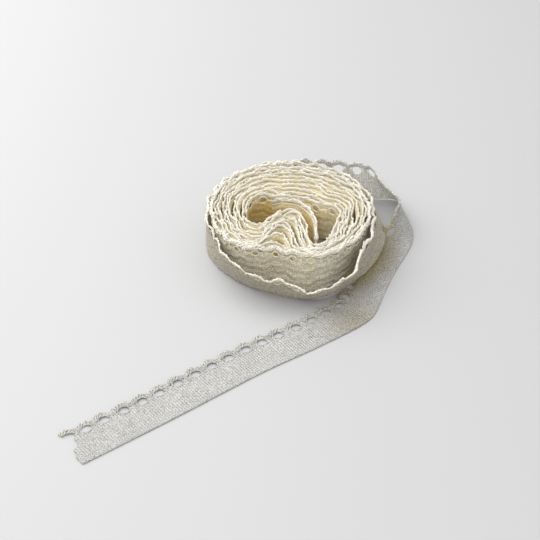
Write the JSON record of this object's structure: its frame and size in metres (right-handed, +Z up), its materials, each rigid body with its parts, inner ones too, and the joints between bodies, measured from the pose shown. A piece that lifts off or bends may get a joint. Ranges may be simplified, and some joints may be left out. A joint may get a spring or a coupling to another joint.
{
  "type": "roll of lace trim",
  "caption": "Loose hand-wound roll of narrow ivory lace trim with a scalloped eyelet edge, its end running out flat.",
  "frame": {"origin": "on the resting surface at the middle of the roll, under the folded tongue of inner turns", "axes": "+Z up along the roll's winding axis, +Y to the roll's back, where the loose end leaves it, and -Y to the side where the loose end runs out"},
  "size_m": [0.118, 0.151, 0.0155],
  "materials": {
    "lace_roll": "matte",
    "lace_tail": "matte"
  },
  "bodies": {
    "root": {"wound_roll": "lace_roll", "loose_end": "lace_tail"}
  },
  "joints": []
}
